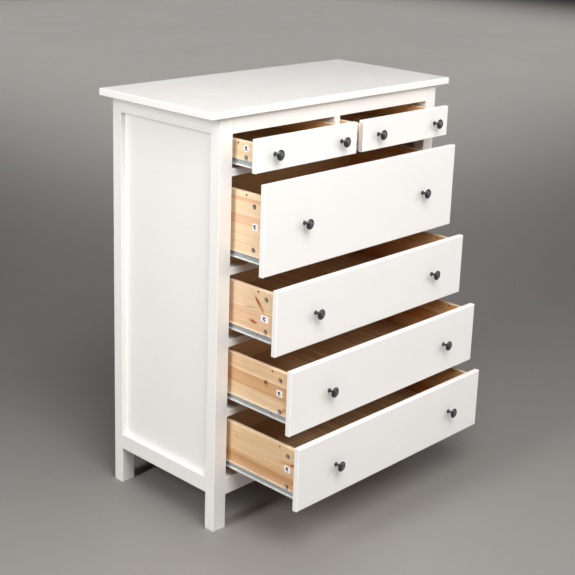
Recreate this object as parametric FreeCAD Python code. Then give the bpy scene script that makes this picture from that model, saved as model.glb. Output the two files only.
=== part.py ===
import FreeCAD, Part
import os
from collections import namedtuple

# Tall chest of drawers: two small drawers side by side over four wide ones, on steel runners.
# Millimetres. +X is the chest's right-hand side seen from the front, the front faces -Y, +Z is up.
# The origin is on the floor, under the middle of the top panel.
# Every drawer stands part of the way out: Drawer.pull is how far it is open.

V = FreeCAD.Vector

# Overall size
WIDTH = 1080.0
DEPTH = 500.0
HEIGHT = 1310.0

# Top panel, and how far it stands out past the frame
TOP_THICKNESS = 22.0
TOP_SIDE_OVERHANG = 48.0
TOP_FRONT_OVERHANG = 17.5
TOP_REAR_OVERHANG = 5.0
TOP_EDGE_RADIUS = 2.5

# Frame
POST_WIDTH = 49.0
POST_DEPTH = 39.0
RAIL_DEPTH = 39.0
REAR_RAIL_DEPTH = 26.0
RAIL_HEIGHT = 22.0
PARTITION_THICKNESS = 24.0
FRONT_BOTTOM_RAIL = (112.0, 168.0)
SIDE_BOTTOM_RAIL = (122.5, 172.5)
SIDE_RAIL_THICKNESS = 32.0
SIDE_PANEL_RECESS = 17.5
SIDE_PANEL_THICKNESS = 16.0
PANEL_TONGUE = 8.0
BACK_PANEL_THICKNESS = 3.5
BACK_PANEL_LAP = 15.0
FRAME_EDGE_RADIUS = 1.5
DOWEL_RADIUS = 4.0
DOWEL_LENGTH = 32.0
NAIL_RADIUS = 1.0
NAIL_HEAD_RADIUS = 2.5
NAIL_HEAD_THICKNESS = 0.8
NAIL_LENGTH = 16.0
NAIL_EDGE = 7.0
NAILS_ACROSS = 9
NAILS_UP = 9

# Drawer fronts and the gap round them
FRONT_GAP = 2.0
FRONT_THICKNESS = 17.0
FRONT_EDGE_RADIUS = 3.0
SMALL_FRONT_HEIGHT = 97.0
DEEP_FRONT_HEIGHT = 270.0
WIDE_FRONT_HEIGHT = 198.0

# Drawer boxes
BOX_LENGTH = 430.0
SIDE_THICKNESS = 15.0
SIDE_EDGE_RADIUS = 2.0
BOTTOM_THICKNESS = 4.0
BOTTOM_LIFT = 9.0
BOTTOM_TONGUE = 6.0

# Runners. Each piece fills part of the gap beside the drawer, from the drawer's side (0) outwards
SIDE_CLEARANCE = 13.0
RUNNER_HEIGHT = 20.0
RUNNER_SHEET = 1.2
RUNNER_FOOT = 11.0
PIN_HEAD_SPAN = (1.5, 2.1)
ROLLER_SPAN = (2.3, 6.0)
DRAWER_FLANGE_TIP = 6.2
CASE_FLANGE_TIP = 7.2
GLIDE_SPAN = (7.6, 11.4)
RUNNER_START = 3.0
CASE_RUNNER_START = 1.5
CASE_RUNNER_LENGTH = 446.0
ROLLER_RADIUS = 8.5
ROLLER_SETBACK = 10.5
PIN_RADIUS = 2.0
PIN_CLEARANCE = 0.05
PIN_SHOULDER_RADIUS = 3.5
GLIDE_LENGTH = 16.0
GLIDE_GAP = 0.3
GLIDE_ROUNDING = 4.0
GLIDE_SETBACK = 10.0
GLIDE_STEM_RADIUS = 4.0

# Screws
SCREW_RADIUS = 1.75
SCREW_HEAD_RADIUS = 3.5
SCREW_HEAD_DEPTH = 2.0
RUNNER_SCREW_LENGTH = 11.0
RUNNER_SCREW_SETBACKS = (35.0, 450.5)
DRAWER_RUNNER_SCREW_SETBACKS = (69.0, 250.0, 400.0)
DRAWER_RUNNER_SCREW_LENGTH = 9.5
BOX_SCREW_LENGTH = 40.0

# Joint fittings between a drawer's sides and its front
FITTING_SETBACK = 36.0
CAM_RADIUS = 7.5
CAM_DEPTH = 11.0
FIT_GAP = 0.1
CAM_BOLT_RADIUS = 3.0
CAM_BOLT_GRIP = 10.0
ADJUSTER_HEIGHT = 20.5
SMALL_ADJUSTER_RADIUS = 10.0
ADJUSTER_THICKNESS = 2.5
ADJUSTER_PROUD = 0.4
ADJUSTER_DIAL_RADIUS = 6.0
ADJUSTER_DIAL_DEPTH = 6.0
SPARE_HOLE_SETBACK = 69.0
SPARE_HOLE_RADIUS = 2.5
SPARE_HOLE_DEPTH = 9.0
SPARE_HOLE_DROP = 7.5

# Knobs
KNOB_SPREAD_WIDE = 277.0
KNOB_SPREAD_SMALL = 141.5
KNOB_BASE_RADIUS = 6.5
KNOB_NECK_RADIUS = 4.0
KNOB_HEAD_RADIUS = 16.0
KNOB_HEIGHT = 31.0
KNOB_CROWN_RADIUS = 1.0
KNOB_SCREW_RADIUS = 2.0
KNOB_SCREW_BITE = 12.0
KNOB_SCREW_HEAD_RADIUS = 4.5
KNOB_SCREW_HEAD_THICKNESS = 2.5

# Places worked out from the sizes above
FRONT_Y = TOP_FRONT_OVERHANG - DEPTH / 2
REAR_Y = DEPTH / 2 - TOP_REAR_OVERHANG
FRAME_TOP = HEIGHT - TOP_THICKNESS
FRAME_X = WIDTH / 2 - TOP_SIDE_OVERHANG
OPENING_X = FRAME_X - POST_WIDTH
BACK_PANEL_Y = REAR_Y - BACK_PANEL_THICKNESS
REAR_RAIL_Y = REAR_Y - REAR_RAIL_DEPTH
BOX_REAR = FRONT_THICKNESS + BOX_LENGTH
RUNNER_MIDDLE = RUNNER_HEIGHT / 2
TOLERANCE = 1e-6

# A drawer: its name, the middle of its front, half its front's width, the height of its front's
# lower edge, its front's height, then measured up from that edge the runner's lower edge, the top
# of the box and the cams, then its adjuster, half the distance between its knobs, and its pull.
# An adjuster is its setback from the front, its height and its plate's length.
Drawer = namedtuple(
    "Drawer", "name centre half bottom height runner box_top cams adjuster knob_spread pull")
Adjuster = namedtuple("Adjuster", "setback height length")


def stacked_drawers():
    """The six drawers, from the bottom of the chest up, and the rails' lower edges between them."""
    wide = OPENING_X - FRONT_GAP
    small = (OPENING_X - PARTITION_THICKNESS / 2) / 2 - FRONT_GAP
    small_centre = (OPENING_X + PARTITION_THICKNESS / 2) / 2
    rows = [
        ("wide_drawer_4", WIDE_FRONT_HEIGHT, 182.0, (59.0, 155.0),
         Adjuster(36.5, 114.0, 23.0), 296.0),
        ("wide_drawer_3", WIDE_FRONT_HEIGHT, 182.0, (59.0, 155.0),
         Adjuster(39.0, 114.0, 23.0), 257.0),
        ("wide_drawer_2", WIDE_FRONT_HEIGHT, 182.0, (61.0, 158.0),
         Adjuster(42.0, 98.5, 31.0), 191.0),
        ("wide_drawer_1", DEEP_FRONT_HEIGHT, 232.5, (69.0, 197.0),
         Adjuster(32.0, 138.0, 21.0), 133.0),
    ]
    drawers = []
    rails = []
    z = FRONT_BOTTOM_RAIL[1]
    for name, height, box_top, cams, adjuster, pull in rows:
        z += FRONT_GAP
        drawers.append(Drawer(name, 0.0, wide, z, height, 33.0, box_top, cams, adjuster,
                              KNOB_SPREAD_WIDE, pull))
        z += height + FRONT_GAP
        rails.append(z)
        z += RAIL_HEIGHT
    z += FRONT_GAP
    for name, side, pull in (("small_left_drawer", -1, 95.0), ("small_right_drawer", 1, 94.0)):
        drawers.append(Drawer(name, side * small_centre, small, z, SMALL_FRONT_HEIGHT, 11.0, 82.0,
                              (36.0,), Adjuster(36.0, 63.0, 2 * SMALL_ADJUSTER_RADIUS),
                              KNOB_SPREAD_SMALL, pull))
    return drawers, rails


DRAWERS, RAILS = stacked_drawers()
TOP_RAIL_Z = DRAWERS[-1].bottom + SMALL_FRONT_HEIGHT + FRONT_GAP


def box(x, y, z):
    """A box between the low and high ends given along each axis."""
    return Part.makeBox(x[1] - x[0], y[1] - y[0], z[1] - z[0], V(x[0], y[0], z[0]))


def cylinder_x(radius, x, y, z):
    """A cylinder along X between the two ends in x."""
    return Part.makeCylinder(radius, x[1] - x[0], V(x[0], y, z), V(1, 0, 0))


def cylinder_y(radius, x, y, z):
    """A cylinder along Y between the two ends in y."""
    return Part.makeCylinder(radius, y[1] - y[0], V(x, y[0], z), V(0, 1, 0))


def mirrored(shapes):
    """The shapes, and their mirror images in the plane x = 0."""
    return shapes + [shape.mirror(V(0, 0, 0), V(1, 0, 0)) for shape in shapes]


def cut_all(shape, tools):
    """The shape less every tool that reaches it."""
    near = [tool for tool in tools if shape.BoundBox.intersect(tool.BoundBox)]
    return shape.cut(near) if near else shape


def edges_at(shape, axis, value):
    """The edges that lie in the plane where the axis, X, Y or Z, has the value."""
    return [edge for edge in shape.Edges
            if all(abs(getattr(v, axis) - value) < TOLERANCE for v in edge.Vertexes)]


def eased(shape, radius, *planes):
    """The shape with the edges in the planes, pairs of axis and value, rounded over."""
    chosen = []
    for axis, value in planes:
        chosen += [e for e in edges_at(shape, axis, value) if not any(e.isSame(c) for c in chosen)]
    return shape.makeFillet(radius, chosen)


def countersunk_screw(start, direction, length):
    """A screw whose flat head is flush with the surface at start and which points along direction."""
    head = Part.makeCone(SCREW_HEAD_RADIUS, SCREW_RADIUS, SCREW_HEAD_DEPTH, start, direction)
    shank = Part.makeCylinder(SCREW_RADIUS, length, start, direction)
    return head.fuse(shank).removeSplitter()


def placed(drawer, shapes, pulled=True):
    """Shapes made round a drawer's own corner, moved to where it stands in the chest."""
    pull = drawer.pull if pulled else 0.0
    move = V(drawer.centre, FRONT_Y - pull, drawer.bottom)
    return [shape.translated(move) for shape in shapes]


# ---- The case ----

def top_panel():
    """The board on top, with eased edges all round."""
    board = box((-WIDTH / 2, WIDTH / 2), (-DEPTH / 2, DEPTH / 2), (FRAME_TOP, HEIGHT))
    return [eased(board, TOP_EDGE_RADIUS, ("X", -WIDTH / 2), ("X", WIDTH / 2),
                  ("Y", -DEPTH / 2), ("Y", DEPTH / 2))]


def side_panels():
    """The panels set into grooves in the side frames."""
    outer = FRAME_X - SIDE_PANEL_RECESS
    panel = box((outer - SIDE_PANEL_THICKNESS, outer),
                (FRONT_Y + POST_DEPTH - PANEL_TONGUE, REAR_Y - POST_DEPTH + PANEL_TONGUE),
                (SIDE_BOTTOM_RAIL[1] - PANEL_TONGUE, TOP_RAIL_Z + PANEL_TONGUE))
    return mirrored([panel])


def back_panel():
    """The thin board let into the back of the rear posts and rails."""
    half = OPENING_X + BACK_PANEL_LAP
    return [box((-half, half), (BACK_PANEL_Y, REAR_Y),
                (SIDE_BOTTOM_RAIL[1] - BACK_PANEL_LAP, TOP_RAIL_Z + BACK_PANEL_LAP))]


def post(front):
    """One leg, from the floor to the top panel, on the right-hand side."""
    y = (FRONT_Y, FRONT_Y + POST_DEPTH) if front else (REAR_Y - POST_DEPTH, REAR_Y)
    leg = box((OPENING_X, FRAME_X), y, (0.0, FRAME_TOP))
    return eased(leg, FRAME_EDGE_RADIUS, ("X", OPENING_X), ("X", FRAME_X), ("Z", 0.0))


def side_rails():
    """The rails that close each side frame at the top and the bottom."""
    x = (FRAME_X - SIDE_RAIL_THICKNESS, FRAME_X)
    y = (FRONT_Y + POST_DEPTH, REAR_Y - POST_DEPTH)
    top = box(x, y, (TOP_RAIL_Z, FRAME_TOP))
    bottom = box(x, y, SIDE_BOTTOM_RAIL)
    return mirrored([eased(rail, FRAME_EDGE_RADIUS, ("X", FRAME_X)) for rail in (top, bottom)])


def front_rails():
    """The rails between the drawers, with a deeper one at the top and at the bottom."""
    spans = [FRONT_BOTTOM_RAIL, (TOP_RAIL_Z, FRAME_TOP)] + [(z, z + RAIL_HEIGHT) for z in RAILS]
    rails = []
    for z in spans:
        rail = box((-OPENING_X, OPENING_X), (FRONT_Y, FRONT_Y + RAIL_DEPTH), z)
        rails.append(eased(rail, FRAME_EDGE_RADIUS, ("Y", FRONT_Y)))
    return rails


def rear_rails():
    """The rails behind the drawers: bottom, top, and the one that carries the partition."""
    spans = (SIDE_BOTTOM_RAIL, (TOP_RAIL_Z, FRAME_TOP), (RAILS[-1], RAILS[-1] + RAIL_HEIGHT))
    ends = (REAR_Y, REAR_Y, BACK_PANEL_Y)
    return [box((-OPENING_X, OPENING_X), (REAR_RAIL_Y, end), z) for z, end in zip(spans, ends)]


def centre_partition():
    """The board between the two small drawers, notched round the front and rear top rails."""
    x = (-PARTITION_THICKNESS / 2, PARTITION_THICKNESS / 2)
    floor = RAILS[-1] + RAIL_HEIGHT
    lower = box(x, (FRONT_Y, BACK_PANEL_Y), (floor, TOP_RAIL_Z))
    upper = box(x, (FRONT_Y + RAIL_DEPTH, REAR_RAIL_Y), (TOP_RAIL_Z, FRAME_TOP))
    return [lower.fuse(upper).removeSplitter()]


def frame_dowels():
    """A beech dowel in each end of every rail, half in the rail and half in the post."""
    reach = DOWEL_LENGTH / 2
    pins = []
    for rail in front_rails() + rear_rails():
        middle = rail.BoundBox.Center
        pins.append(cylinder_x(DOWEL_RADIUS, (OPENING_X - reach, OPENING_X + reach),
                               middle.y, middle.z))
    rail_x = FRAME_X - SIDE_RAIL_THICKNESS / 2
    for z in (sum(SIDE_BOTTOM_RAIL) / 2, (TOP_RAIL_Z + FRAME_TOP) / 2):
        for y in (FRONT_Y + POST_DEPTH, REAR_Y - POST_DEPTH):
            pins.append(cylinder_y(DOWEL_RADIUS, rail_x, (y - reach, y + reach), z))
    return mirrored(pins)


def back_nails():
    """The flat-headed nails that hold the back panel to the posts and rails."""
    panel = back_panel()[0].BoundBox
    x_ends = (panel.XMin + NAIL_EDGE, panel.XMax - NAIL_EDGE)
    z_ends = (panel.ZMin + NAIL_EDGE, panel.ZMax - NAIL_EDGE)
    spots = []
    for i in range(NAILS_ACROSS):
        x = x_ends[0] + (x_ends[1] - x_ends[0]) * i / (NAILS_ACROSS - 1)
        spots += [(x, z_ends[0]), (x, z_ends[1])]
    for i in range(1, NAILS_UP - 1):
        z = z_ends[0] + (z_ends[1] - z_ends[0]) * i / (NAILS_UP - 1)
        spots += [(x_ends[0], z), (x_ends[1], z)]
    nails = []
    for x, z in spots:
        shank = cylinder_y(NAIL_RADIUS, x, (REAR_Y - NAIL_LENGTH, REAR_Y), z)
        head = cylinder_y(NAIL_HEAD_RADIUS, x, (REAR_Y, REAR_Y + NAIL_HEAD_THICKNESS), z)
        nails.append(shank.fuse(head))
    return nails


# ---- The runners on the case, made in a drawer's own place ----

def channel(web_x, flange_x, y, z, height):
    """A steel channel lying along Y, with its web in web_x and both flanges across flange_x."""
    web = box(web_x, y, (z, z + height))
    lower = box(flange_x, y, (z, z + RUNNER_SHEET))
    upper = box(flange_x, y, (z + height - RUNNER_SHEET, z + height))
    return web.fuse([lower, upper]).removeSplitter()


def case_runner(drawer):
    """The channel on the case at the drawer's right, open towards the drawer."""
    side = drawer.half + FRONT_GAP - SIDE_CLEARANCE
    wall = side + SIDE_CLEARANCE
    start = FRONT_THICKNESS + CASE_RUNNER_START
    return channel((wall - RUNNER_SHEET, wall), (side + CASE_FLANGE_TIP, wall),
                   (start, start + CASE_RUNNER_LENGTH), drawer.runner, RUNNER_HEIGHT)


def case_runner_screws(drawer):
    """The screws that hold the case's channel to the posts or to the partition."""
    x = drawer.half + FRONT_GAP - RUNNER_SHEET
    return [countersunk_screw(V(x, y, drawer.runner + RUNNER_MIDDLE), V(1, 0, 0),
                              RUNNER_SCREW_LENGTH) for y in RUNNER_SCREW_SETBACKS]


def roller_pin(drawer):
    """The shouldered rivet at the front of the case's channel, which the roller turns on."""
    side = drawer.half + FRONT_GAP - SIDE_CLEARANCE
    y = FRONT_THICKNESS + ROLLER_SETBACK
    z = drawer.runner + RUNNER_MIDDLE
    shoulder = (side + DRAWER_FLANGE_TIP, side + SIDE_CLEARANCE - RUNNER_SHEET)
    journal = (side + PIN_HEAD_SPAN[0], side + DRAWER_FLANGE_TIP)
    head = (side + PIN_HEAD_SPAN[0], side + PIN_HEAD_SPAN[1])
    pin = cylinder_x(PIN_SHOULDER_RADIUS, shoulder, y, z)
    pin = pin.fuse([cylinder_x(PIN_RADIUS, journal, y, z),
                    cylinder_x(PIN_SHOULDER_RADIUS, head, y, z)])
    return pin.removeSplitter()


def roller(drawer):
    """The plastic roller that the drawer's channel runs over."""
    side = drawer.half + FRONT_GAP - SIDE_CLEARANCE
    y = FRONT_THICKNESS + ROLLER_SETBACK
    z = drawer.runner + RUNNER_MIDDLE
    span = (side + ROLLER_SPAN[0], side + ROLLER_SPAN[1])
    wheel = cylinder_x(ROLLER_RADIUS, span, y, z)
    return wheel.cut(cylinder_x(PIN_RADIUS + PIN_CLEARANCE, span, y, z))


# ---- A drawer, made with its front's lower edge on z = 0 and its closed front on y = 0 ----

def is_small(drawer):
    """Whether the drawer is one of the two small ones at the top."""
    return drawer.height == SMALL_FRONT_HEIGHT


def box_side(drawer):
    """Half the outer width of the drawer's box."""
    return drawer.half + FRONT_GAP - SIDE_CLEARANCE


def box_floor(drawer):
    """The height of the lower edge of the drawer's sides."""
    return drawer.runner + RUNNER_SHEET


def bottom_board(drawer):
    """The thin bottom, held in grooves in the front, the sides and the back."""
    inner = box_side(drawer) - SIDE_THICKNESS + BOTTOM_TONGUE
    z = box_floor(drawer) + BOTTOM_LIFT
    return box((-inner, inner),
               (FRONT_THICKNESS - BOTTOM_TONGUE, BOX_REAR - SIDE_THICKNESS + BOTTOM_TONGUE),
               (z, z + BOTTOM_THICKNESS))


def front_board(drawer):
    """The painted front, with its face's edges eased."""
    board = box((-drawer.half, drawer.half), (0.0, FRONT_THICKNESS), (0.0, drawer.height))
    return eased(board, FRONT_EDGE_RADIUS, ("Y", 0.0))


def side_board(drawer):
    """The right-hand side, with a soft top edge and the spare hole near its front."""
    outer = box_side(drawer)
    board = box((outer - SIDE_THICKNESS, outer), (FRONT_THICKNESS, BOX_REAR),
                (box_floor(drawer), drawer.box_top))
    along = [e for e in edges_at(board, "Z", drawer.box_top)
             if abs(e.Vertexes[0].X - e.Vertexes[1].X) < TOLERANCE]
    board = board.makeFillet(SIDE_EDGE_RADIUS, along)
    hole = cylinder_x(SPARE_HOLE_RADIUS, (outer - SPARE_HOLE_DEPTH, outer),
                      FRONT_THICKNESS + SPARE_HOLE_SETBACK, drawer.box_top - SPARE_HOLE_DROP)
    return board.cut(hole)


def back_board(drawer):
    """The board across the back of the box, between the sides."""
    inner = box_side(drawer) - SIDE_THICKNESS
    return box((-inner, inner), (BOX_REAR - SIDE_THICKNESS, BOX_REAR),
               (box_floor(drawer), drawer.box_top - SIDE_EDGE_RADIUS))


def drawer_runner(drawer):
    """The drawer's channel, open outwards, with a foot under the edge of the side."""
    side = box_side(drawer)
    y = (FRONT_THICKNESS + RUNNER_START, BOX_REAR)
    rail = channel((side, side + RUNNER_SHEET), (side, side + DRAWER_FLANGE_TIP),
                   y, drawer.runner, RUNNER_HEIGHT)
    foot = box((side - RUNNER_FOOT, side), y, (drawer.runner, drawer.runner + RUNNER_SHEET))
    return rail.fuse(foot).removeSplitter()


def drawer_runner_screws(drawer):
    """The screws that hold the drawer's channel to the side, heads flush with its web."""
    x = box_side(drawer) + RUNNER_SHEET
    return [countersunk_screw(V(x, FRONT_THICKNESS + y, drawer.runner + RUNNER_MIDDLE),
                              V(-1, 0, 0), DRAWER_RUNNER_SCREW_LENGTH)
            for y in DRAWER_RUNNER_SCREW_SETBACKS]


def glide(drawer):
    """The nylon block at the rear of the drawer's channel, which slides in the case's channel."""
    side = box_side(drawer)
    y = BOX_REAR - GLIDE_SETBACK
    z = drawer.runner + RUNNER_MIDDLE
    half_height = RUNNER_MIDDLE - RUNNER_SHEET - GLIDE_GAP
    x = (side + GLIDE_SPAN[0], side + GLIDE_SPAN[1])
    block = box(x, (y - GLIDE_LENGTH / 2, y + GLIDE_LENGTH / 2), (z - half_height, z + half_height))
    corners = [e for e in block.Edges if abs(e.Vertexes[0].X - e.Vertexes[1].X) > TOLERANCE]
    block = block.makeFillet(GLIDE_ROUNDING, corners)
    stem = cylinder_x(GLIDE_STEM_RADIUS, (side + RUNNER_SHEET, x[0]), y, z)
    return block.fuse(stem).removeSplitter()


def cam_pocket(drawer, z, gap=0.0):
    """The round space that a cam fills in the outer face of the side."""
    outer = box_side(drawer)
    return cylinder_x(CAM_RADIUS + gap, (outer - CAM_DEPTH - gap, outer),
                      FRONT_THICKNESS + FITTING_SETBACK, z)


def cam_bolt(drawer, z):
    """The bolt from the front into the end of the side, where the cam grips it."""
    y_end = FRONT_THICKNESS + FITTING_SETBACK - CAM_RADIUS - FIT_GAP
    return cylinder_y(CAM_BOLT_RADIUS, box_side(drawer) - SIDE_THICKNESS / 2,
                      (FRONT_THICKNESS - CAM_BOLT_GRIP, y_end), z)


def adjuster(drawer):
    """The plastic insert whose dial trims the front, almost flush with the side.

    Its plate is round on a small drawer and oblong on a wide one.
    """
    outer = box_side(drawer)
    setback, z, length = drawer.adjuster
    y = FRONT_THICKNESS + setback
    span = (outer - ADJUSTER_THICKNESS, outer + ADJUSTER_PROUD)
    if is_small(drawer):
        plate = cylinder_x(SMALL_ADJUSTER_RADIUS, span, y, z)
    else:
        plate = box(span, (y - length / 2, y + length / 2),
                    (z - ADJUSTER_HEIGHT / 2, z + ADJUSTER_HEIGHT / 2))
    dial = cylinder_x(ADJUSTER_DIAL_RADIUS,
                      (outer - ADJUSTER_THICKNESS - ADJUSTER_DIAL_DEPTH, outer - ADJUSTER_THICKNESS),
                      y, z)
    return plate.fuse(dial).removeSplitter()


def box_screws(drawer):
    """The screws through the sides into the ends of the back board."""
    y = BOX_REAR - SIDE_THICKNESS / 2
    z_low = drawer.runner + RUNNER_HEIGHT + 8.0
    z_high = drawer.box_top - 16.0
    return [countersunk_screw(V(box_side(drawer), y, z), V(-1, 0, 0), BOX_SCREW_LENGTH)
            for z in (z_low, z_high)]


def knob(drawer):
    """The right-hand knob: a small foot, a thin neck and a domed, mushroom-shaped head."""
    r_foot, r_neck, r_head = KNOB_BASE_RADIUS, KNOB_NECK_RADIUS, KNOB_HEAD_RADIUS
    r_crown = KNOB_CROWN_RADIUS
    foot_top, waist, rim_low, rim_high = 2.4, 10.5, 22.0, 24.5
    outline = [
        Part.LineSegment(V(0, 0), V(r_foot, 0)),
        Part.LineSegment(V(r_foot, 0), V(r_foot, foot_top)),
        Part.Arc(V(r_foot, foot_top), V(r_neck + 0.45, 5.2), V(r_neck, waist)),
        Part.Arc(V(r_neck, waist), V(7.0, 18.2), V(r_head - 1.0, rim_low)),
        Part.Arc(V(r_head - 1.0, rim_low), V(r_head, 23.2), V(r_head - 0.8, rim_high)),
        Part.Arc(V(r_head - 0.8, rim_high), V(8.6, 29.2), V(r_crown, KNOB_HEIGHT)),
        Part.LineSegment(V(r_crown, KNOB_HEIGHT), V(0, KNOB_HEIGHT)),
        Part.LineSegment(V(0, KNOB_HEIGHT), V(0, 0)),
    ]
    face = Part.Face(Part.Wire([piece.toShape() for piece in outline]))
    solid = face.revolve(V(0, 0, 0), V(0, 1, 0), 360)
    solid.rotate(V(0, 0, 0), V(1, 0, 0), 180)
    solid.translate(V(drawer.knob_spread, 0, drawer.height / 2))
    return solid


def knob_screw(drawer):
    """The machine screw that comes through the front from inside the drawer into the knob."""
    x, z = drawer.knob_spread, drawer.height / 2
    shank = cylinder_y(KNOB_SCREW_RADIUS, x, (-KNOB_SCREW_BITE, FRONT_THICKNESS), z)
    head = cylinder_y(KNOB_SCREW_HEAD_RADIUS, x,
                      (FRONT_THICKNESS, FRONT_THICKNESS + KNOB_SCREW_HEAD_THICKNESS), z)
    return shank.fuse(head)


def drawer_nodes(drawer):
    """The drawer's nodes: each name's list of solids, in the chest."""
    bottom = bottom_board(drawer)
    screws = mirrored(drawer_runner_screws(drawer) + box_screws(drawer))
    cams = [cam_pocket(drawer, z) for z in drawer.cams]
    pockets = mirrored([cam_pocket(drawer, z, FIT_GAP) for z in drawer.cams])
    bolts = mirrored([cam_bolt(drawer, z) for z in drawer.cams])
    adjusters = mirrored([adjuster(drawer)])
    knob_screws = mirrored([knob_screw(drawer)])
    tools = [bottom] + screws + bolts + pockets + adjusters + knob_screws
    solids = {
        "front": [front_board(drawer)],
        "sides": mirrored([side_board(drawer)]),
        "back": [back_board(drawer)],
        "runners": mirrored([drawer_runner(drawer)]),
        "knobs": mirrored([knob(drawer)]),
    }
    nodes = {name: [cut_all(shape, tools) for shape in shapes] for name, shapes in solids.items()}
    nodes["bottom"] = [bottom]
    nodes["fittings"] = (mirrored(cams) + bolts + adjusters + screws + knob_screws
                         + mirrored([glide(drawer)]))
    return {f"{drawer.name}_{name}": placed(drawer, shapes) for name, shapes in nodes.items()}


def case_nodes():
    """The nodes of the standing case, with the drawers' channels and roller pins on it."""
    runners = []
    screws = []
    pins = []
    for drawer in DRAWERS:
        runners += placed(drawer, mirrored([case_runner(drawer)]), pulled=False)
        screws += placed(drawer, mirrored(case_runner_screws(drawer)), pulled=False)
        pins += placed(drawer, mirrored([roller_pin(drawer)]), pulled=False)
    nails = back_nails()
    dowels = frame_dowels()
    side = side_panels()
    back = back_panel()
    tools = screws + nails + dowels + side + back
    wooden = {
        "front_posts": mirrored([post(front=True)]),
        "rear_posts": mirrored([post(front=False)]),
        "side_rails": side_rails(),
        "front_rails": front_rails(),
        "rear_rails": rear_rails(),
        "centre_partition": centre_partition(),
    }
    nodes = {name: [cut_all(shape, tools) for shape in shapes] for name, shapes in wooden.items()}
    nodes["top_panel"] = top_panel()
    nodes["side_panels"] = side
    nodes["back_panel"] = [cut_all(back[0], nails)]
    nodes["case_runners"] = [cut_all(runner, screws) for runner in runners]
    nodes["case_fasteners"] = screws + pins + nails
    nodes["frame_dowels"] = dowels
    return nodes


def main():
    """Writes one STEP file per node."""
    nodes = case_nodes()
    for drawer in DRAWERS:
        nodes.update(drawer_nodes(drawer))
        nodes[f"{drawer.name}_rollers"] = placed(drawer, mirrored([roller(drawer)]), pulled=False)
    os.makedirs("parts", exist_ok=True)
    for name, shapes in nodes.items():
        Part.makeCompound(shapes).exportStep(f"parts/{name}.step")
        print(name, len(shapes), "solids", all(s.isValid() and len(s.Solids) == 1 for s in shapes))


main()
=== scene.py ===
import math
from collections import namedtuple

import bmesh
import bpy
from mathutils import Matrix, Vector


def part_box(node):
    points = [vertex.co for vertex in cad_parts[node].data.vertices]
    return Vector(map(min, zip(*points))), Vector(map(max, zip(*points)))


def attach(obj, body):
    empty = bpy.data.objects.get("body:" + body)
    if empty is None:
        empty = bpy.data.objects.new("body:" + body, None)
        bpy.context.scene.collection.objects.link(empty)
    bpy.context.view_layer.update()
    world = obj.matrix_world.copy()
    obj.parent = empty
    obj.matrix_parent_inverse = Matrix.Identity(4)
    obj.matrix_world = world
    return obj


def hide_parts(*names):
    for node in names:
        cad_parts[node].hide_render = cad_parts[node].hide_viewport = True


# A tall white chest of drawers, its drawers part open, on a pale studio floor.
# Metres, in the chest's own frame: +X to its right, the front faces -Y, +Z up.

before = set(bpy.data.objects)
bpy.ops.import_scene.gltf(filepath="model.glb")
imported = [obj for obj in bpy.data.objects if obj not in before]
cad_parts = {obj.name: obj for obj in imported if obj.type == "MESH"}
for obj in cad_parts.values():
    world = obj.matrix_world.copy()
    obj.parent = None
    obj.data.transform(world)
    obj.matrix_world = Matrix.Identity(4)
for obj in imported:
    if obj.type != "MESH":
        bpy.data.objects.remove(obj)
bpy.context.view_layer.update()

MM = 0.001
WIDE_DRAWERS = ("wide_drawer_1", "wide_drawer_2", "wide_drawer_3", "wide_drawer_4")
SMALL_DRAWERS = ("small_left_drawer", "small_right_drawer")

# Camera: where it stands, how it is turned in degrees, and its lens on a 36 mm sensor
CAMERA_PLACE = (-2.7716, -2.6534, 1.9331)
CAMERA_YAW = 46.77
CAMERA_PITCH = -15.91
CAMERA_ROLL = 1.98
CAMERA_LENS = 76.1
CAMERA_SHIFT = (-0.0042, -0.1087)

# Fittings, in millimetres: heights are above the lower edge of a drawer's front. An adjuster is
# its setback behind the front, its height, and its plate's half length and half height
Fittings = namedtuple("Fittings", "cams adjuster")
FITTINGS = {
    "small_left_drawer": Fittings((36.0,), (36.0, 63.0, 10.0, 10.0)),
    "small_right_drawer": Fittings((36.0,), (36.0, 63.0, 10.0, 10.0)),
    "wide_drawer_1": Fittings((69.0, 197.0), (32.0, 138.0, 10.5, 10.25)),
    "wide_drawer_2": Fittings((61.0, 158.0), (42.0, 98.5, 15.5, 10.25)),
    "wide_drawer_3": Fittings((59.0, 155.0), (39.0, 114.0, 11.5, 10.25)),
    "wide_drawer_4": Fittings((59.0, 155.0), (36.5, 114.0, 11.5, 10.25)),
}
FITTING_SETBACK = 36.0
CAM_RADIUS = 7.5
CAM_DEPTH = 11.0
CAM_SUNK = 2.2
CAM_CROSS = (2.4, 0.7)
CAM_MOUTH = (3.0, 5.7, 75, 305)
CAM_BOLT_RADIUS = 3.0
CAM_BOLT_GRIP = 10.0
ADJUSTER_PROUD = 0.4
ADJUSTER_THICKNESS = 2.5
DIAL_SLOT = (1.1, 6.5)
DIAL_SLOT_TURN = 150
DIAL_TURN = 148
DIAL_GAP = 0.15
RUNNER_HEIGHT = 20.0
RUNNER_SHEET = 1.2
RUNNER_SCREW_SETBACKS = (69.0, 250.0, 400.0)
CASE_RUNNER_SCREWS_BEHIND_ROLLER = (7.5, 423.0)
SIDE_THICKNESS = 15.0
SIDE_CLEARANCE = 13.0
SCREW_HEAD_RADIUS = 3.5
SCREW_SHANK_RADIUS = 1.75
DRAWER_RUNNER_SCREW_LENGTH = 9.5
CASE_RUNNER_SCREW_LENGTH = 11.0
BOX_SCREW_LENGTH = 40.0
BOX_SCREW_ABOVE_RUNNER = 8.0
BOX_SCREW_BELOW_TOP = 16.0
KNOB_SCREW_BITE = 10.4
RIVET_RADIUS = 3.5
SPARE_HOLE_SETBACK = 69.0
SPARE_HOLE_DROP = 7.5
GLIDE_SETBACK = 10.0
GLIDE_SPAN = (7.6, 11.4)
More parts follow.
